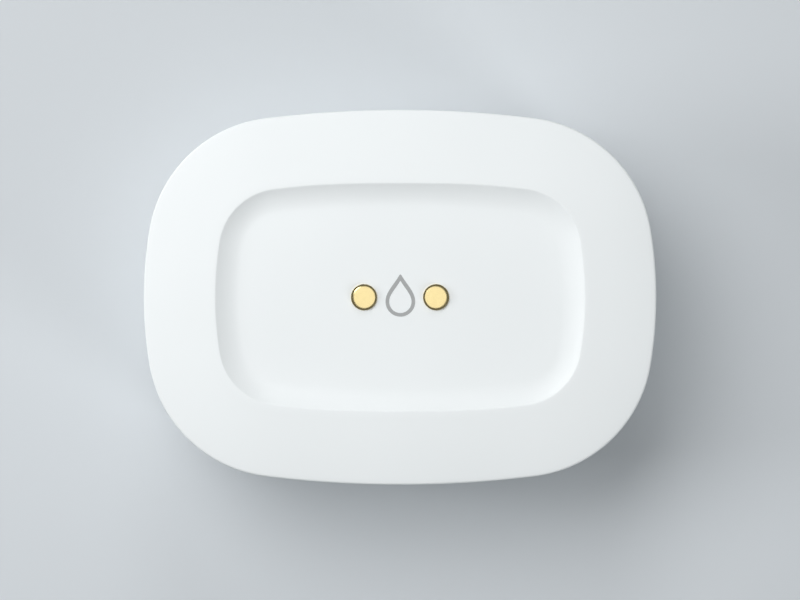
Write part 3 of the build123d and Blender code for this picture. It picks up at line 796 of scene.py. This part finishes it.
black_plastic = moulded_plastic("moulded nylon, black", "#2A2C2F", "#232528", 0.5, 0.001 * MM)
switch_body = make_piece("switch_body", solid_copy("tact_switch"), black_plastic, "housing",
                         "switch_housing", "tact_switch")
soften_edges(switch_body, 0.15 * MM)
rivet_places = [(x * MM, (SWITCH_Y + y) * MM) for x in (-RIVET_REACH, RIVET_REACH)
                for y in (-RIVET_REACH, RIVET_REACH)]
rivets = turn_piece([(0, RIVET_HEAD_Z), (RIVET_RADIUS, RIVET_HEAD_Z), (RIVET_RADIUS, RIVET_ROOT_Z),
                     (0, RIVET_ROOT_Z)], rivet_places, radius=0.08 * MM, corners=(1,))
make_piece("switch_rivets", rivets, black_plastic, "housing", "switch_housing")
grey_plastic = moulded_plastic("moulded ABS, light grey", "#BCC2C6", "#B4BABE", 0.45,
                               TEXTURE_RELIEF)
plunger_mesh = bmesh.new()
add_block(plunger_mesh, (-PLUNGER_HALF, PLUNGER_HALF),
          (SWITCH_Y - PLUNGER_HALF, SWITCH_Y + PLUNGER_HALF), PLUNGER_Z)
plunger = make_piece("plunger", plunger_mesh, grey_plastic, "pairing_button", "button_plastic",
                     "switch_plunger")
soften_edges(plunger, 0.15 * MM)

# Pairing button
# A round grey button, moulded with a shallow hollow for the fingertip. A square flange behind the
# underside keeps it from falling out.

BUTTON_RADIUS = 3.0 * MM
BUTTON_FACE_Z = 0.9 * MM
BUTTON_HEAD_Z = 2.7 * MM
HOLLOW = [(0, 0.14 * MM), (0.9 * MM, 0.12 * MM), (1.7 * MM, 0.06 * MM), (2.3 * MM, 0)]
FLANGE_HALF = 3.8               # millimetres, as add_block takes them
FLANGE_Z = (2.5, 3.0)

button_line = [(radius, BUTTON_FACE_Z + depth) for radius, depth in HOLLOW]
button_line += [(BUTTON_RADIUS, BUTTON_FACE_Z), (BUTTON_RADIUS, BUTTON_HEAD_Z), (0, BUTTON_HEAD_Z)]
button_mesh = turn_piece(button_line, [(0, SWITCH_Y * MM)], radius=0.25 * MM, corners=(4,))
add_block(button_mesh, (-FLANGE_HALF, FLANGE_HALF), (SWITCH_Y - FLANGE_HALF, SWITCH_Y + FLANGE_HALF),
          FLANGE_Z)
make_piece("button_cap", button_mesh, grey_plastic, "pairing_button", "button_plastic",
           "pairing_button")

# Contact springs
# Leaves of thin spring steel, bent and plated. Each stands on the board and presses up against
# the tail of a dish contact.

spring_steel = plated_metal("nickel plated spring steel", "#BFC1C0", "#A9ACAC", 0.3, 0.8 * MM)
for side in ("left", "right"):
    leaf = make_piece(f"contact_spring_{side}", solid_copy(f"contact_leaf_{side}"), spring_steel,
                      "housing", "spring_steel", f"contact_leaf_{side}")
    soften_edges(leaf, 0.05 * MM)

# Battery contacts
# Stamped sheet contacts at both ends of the bay, with arms down to the board. The minus side has
# a bowed leaf that pushes the cell against the plus side.

for side in ("plus", "minus"):
    sheet = make_piece(f"{side}_sheet", solid_copy(f"battery_{side}_contact"), spring_steel,
                       "housing", "spring_steel", f"battery_{side}_contact")
    soften_edges(sheet, 0.06 * MM)

# Lithium cell
# A CR2 cell: a nickel plated can with a raised plus terminal in a white washer, in a printed
# shrink sleeve that rolls over both rims.

CELL_AXIS = Vector((0, 8.7, 9.9)) * MM
SLEEVE_RADIUS = 7.8 * MM
FILM = 0.06 * MM
MINUS_X = -11.2 * MM
SHOULDER_X = 14.8 * MM
PLUS_X = 15.8 * MM
SLEEVE_MOUTH = 6.4 * MM
CRIMP_RADIUS = 6.2 * MM
SEAT_RADIUS = 5.8 * MM
SEAT_X = SHOULDER_X - 0.4 * MM
TERMINAL_RADIUS = 3.2 * MM
WASHER_GAP = 0.1 * MM
WASHER_THICKNESS = 0.2 * MM
RIPPLE = 2.5 * MM
RIPPLE_RELIEF = 0.03 * MM
BAND_START = 9.6 * MM


def lay_along_x(mesh):
    """Turn a piece that stands on the axis so that it lies on the cell's axis, its top to the right."""
    lie_down = Matrix.Translation(CELL_AXIS) @ Matrix.Rotation(pi / 2, 4, "Y")
    bmesh.ops.transform(mesh, matrix=lie_down, verts=mesh.verts)
    return mesh


def shrink_film(name, colour, band, band_start):
    """Printed shrink film: glossy, dark over its length, with a band at the plus end."""
    material = new_material(name)
    place = add_node(material, "ShaderNodeTexCoord").outputs["Object"]
    along = add_node(material, "ShaderNodeSeparateXYZ", Vector=place)
    at_plus = add_node(material, "ShaderNodeMath", {"operation": "GREATER_THAN"})
    material.node_tree.links.new(along.outputs["X"], at_plus.inputs[0])
    at_plus.inputs[1].default_value = band_start
    tint = add_node(material, "ShaderNodeMix", {"data_type": "RGBA"}, Factor=at_plus.outputs["Value"])
    tint.inputs["A"].default_value = to_linear(colour)
    tint.inputs["B"].default_value = to_linear(band)
    ripple = add_node(material, "ShaderNodeTexNoise", Vector=place, Scale=1 / RIPPLE, Detail=2.0)
    bump = add_node(material, "ShaderNodeBump", Height=ripple.outputs["Fac"], Distance=RIPPLE_RELIEF)
    shader = add_node(material, "ShaderNodeBsdfPrincipled", Base_Color=tint.outputs["Result"],
                      Roughness=0.28, Normal=bump.outputs["Normal"], IOR=1.53)
    return finish_material(material, shader)


can_line = [(0, MINUS_X + FILM), (SLEEVE_RADIUS - FILM, MINUS_X + FILM),
            (SLEEVE_RADIUS - FILM, SHOULDER_X - FILM), (CRIMP_RADIUS, SHOULDER_X - FILM),
            (SEAT_RADIUS, SEAT_X), (TERMINAL_RADIUS, SEAT_X), (TERMINAL_RADIUS, PLUS_X), (0, PLUS_X)]
can_mesh = turn_piece(can_line, [(0, 0)], radius=0.4 * MM, corners=(1, 2, 6))
sleeve_line = [(SLEEVE_MOUTH, MINUS_X), (SLEEVE_RADIUS, MINUS_X), (SLEEVE_RADIUS, SHOULDER_X),
               (SLEEVE_MOUTH, SHOULDER_X), (SLEEVE_MOUTH, SHOULDER_X - FILM),
               (SLEEVE_RADIUS - FILM, SHOULDER_X - FILM), (SLEEVE_RADIUS - FILM, MINUS_X + FILM),
               (SLEEVE_MOUTH, MINUS_X + FILM), (SLEEVE_MOUTH, MINUS_X)]
sleeve_mesh = turn_piece(sleeve_line, [(0, 0)], radius=0.4 * MM, corners=(1, 2, 5, 6))
washer_radii = (TERMINAL_RADIUS + WASHER_GAP, SEAT_RADIUS - WASHER_GAP)
washer_top_x = SEAT_X + WASHER_THICKNESS
washer_line = [(washer_radii[0], SEAT_X), (washer_radii[1], SEAT_X), (washer_radii[1], washer_top_x),
               (washer_radii[0], washer_top_x), (washer_radii[0], SEAT_X)]
washer_mesh = turn_piece(washer_line, [(0, 0)])
film = shrink_film("shrink film, printed dark blue", "#26364A", "#C9A15A", BAND_START)
make_piece("cell_can", lay_along_x(can_mesh), tin, "housing", "cell_sleeve", "battery_cell")
make_piece("cell_film", lay_along_x(sleeve_mesh), film, "housing", "cell_sleeve", "battery_cell")
make_piece("cell_washer", lay_along_x(washer_mesh), white_ceramic, "housing", "cell_sleeve")

# Battery door
# A white ABS lid that swings on two moulded pins at its inner edge and snaps shut at its outer
# edge. Its two ribs cradle the cell.

door = make_piece("door_moulding", solid_copy("battery_door"), white_abs, "battery_door",
                  "case_plastic", "battery_door")
soften_edges(door, 0.08 * MM)

# Door seal
# A soft silicone ring pressed into the door's groove. It closes the bay against water.

silicone = soft_rubber("moulded silicone rubber, grey", "#8C979D", "#818C92", 0.5, 0.3 * MM)
seal = make_piece("seal_ring", solid_copy("door_seal"), silicone, "battery_door", "seal_silicone",
                  "door_seal")
soften_edges(seal, 0.16 * MM, 3)

# Studio
# A plain floor of matt pale paint, and soft round lamps: a key from the upper left, three low ones
# that shade the coves, and one overhead that the gold faces mirror. The camera looks straight down.

FRAME_WIDTH = 800 / 8.007 * MM      # the outline is 8.007 pixels to the millimetre
FRAME_Z = 20.4 * MM                 # height at which that scale holds
CAMERA_SHIFT = Vector((-0.005, -0.345, 0)) * MM
LENS = 120.0
SENSOR = 36.0
FLOOR_HALF = 3.0
FLOOR_GRAIN = 15 * MM
FLOOR_GLOSS = (0.55, 0.65)
# Each lamp's azimuth and elevation in degrees, distance and size in metres, and power in watts
LAMPS = {
    "key": (135, 60, 0.4, 0.28, 0.9),
    "low left": (180, 25, 0.8, 0.28, 2.1),
    "low back": (90, 25, 0.8, 0.28, 1.25),
    "low front right": (322, 25, 0.8, 0.28, 1.8),
    "overhead": (0, 89.9, 0.9, 0.34, 0.285),
}
WORLD_COLOUR = "#F9FDFF"
WORLD_STRENGTH = 0.16


def lamp(name, azimuth, elevation, distance, size, power):
    """Round soft lamp that looks at the middle of the object."""
    light = bpy.data.lights.new(name, "AREA")
    light.shape = "DISK"
    light.size = size
    light.energy = power
    source = bpy.data.objects.new(name, light)
    a, e = radians(azimuth), radians(elevation)
    source.location = Vector((cos(a) * cos(e), sin(a) * cos(e), sin(e))) * distance
    source.rotation_euler = (-source.location).to_track_quat("-Z", "Y").to_euler()
    source.visible_camera = False
    bpy.context.scene.collection.objects.link(source)


floor_material = new_material("painted board, pale grey")
floor_place = add_node(floor_material, "ShaderNodeTexCoord").outputs["Object"]
floor_grain = add_node(floor_material, "ShaderNodeTexNoise", Vector=floor_place,
                       Scale=1 / FLOOR_GRAIN, Detail=2.0)
floor_shade = add_node(floor_material, "ShaderNodeMapRange", Value=floor_grain.outputs["Fac"])
floor_shade.inputs["To Min"].default_value = FLOOR_GLOSS[0]
floor_shade.inputs["To Max"].default_value = FLOOR_GLOSS[1]
floor_shader = add_node(floor_material, "ShaderNodeBsdfPrincipled", Base_Color=to_linear("#CDD2D6"),
                        Roughness=floor_shade.outputs["Result"])
finish_material(floor_material, floor_shader)
floor_mesh = bmesh.new()
bmesh.ops.create_grid(floor_mesh, x_segments=1, y_segments=1, size=FLOOR_HALF)
floor_data = bpy.data.meshes.new("floor")
floor_mesh.to_mesh(floor_data)
floor_mesh.free()
floor_data.materials.append(floor_material)
floor = bpy.data.objects.new("floor", floor_data)
bpy.context.scene.collection.objects.link(floor)

for name, values in LAMPS.items():
    lamp(name, *values)

world = bpy.data.worlds.new("studio")
world.use_nodes = True
background = world.node_tree.nodes["Background"]
background.inputs["Color"].default_value = to_linear(WORLD_COLOUR)
background.inputs["Strength"].default_value = WORLD_STRENGTH
bpy.context.scene.world = world

camera_data = bpy.data.cameras.new("camera")
camera_data.lens = LENS
camera_data.sensor_width = SENSOR
camera_data.clip_start = 0.01
camera = bpy.data.objects.new("camera", camera_data)
distance = LENS / SENSOR * FRAME_WIDTH
camera.location = CAMERA_SHIFT + Vector((0, 0, distance + FRAME_Z))
bpy.context.scene.collection.objects.link(camera)
bpy.context.scene.camera = camera
bpy.context.scene.view_settings.view_transform = "Standard"
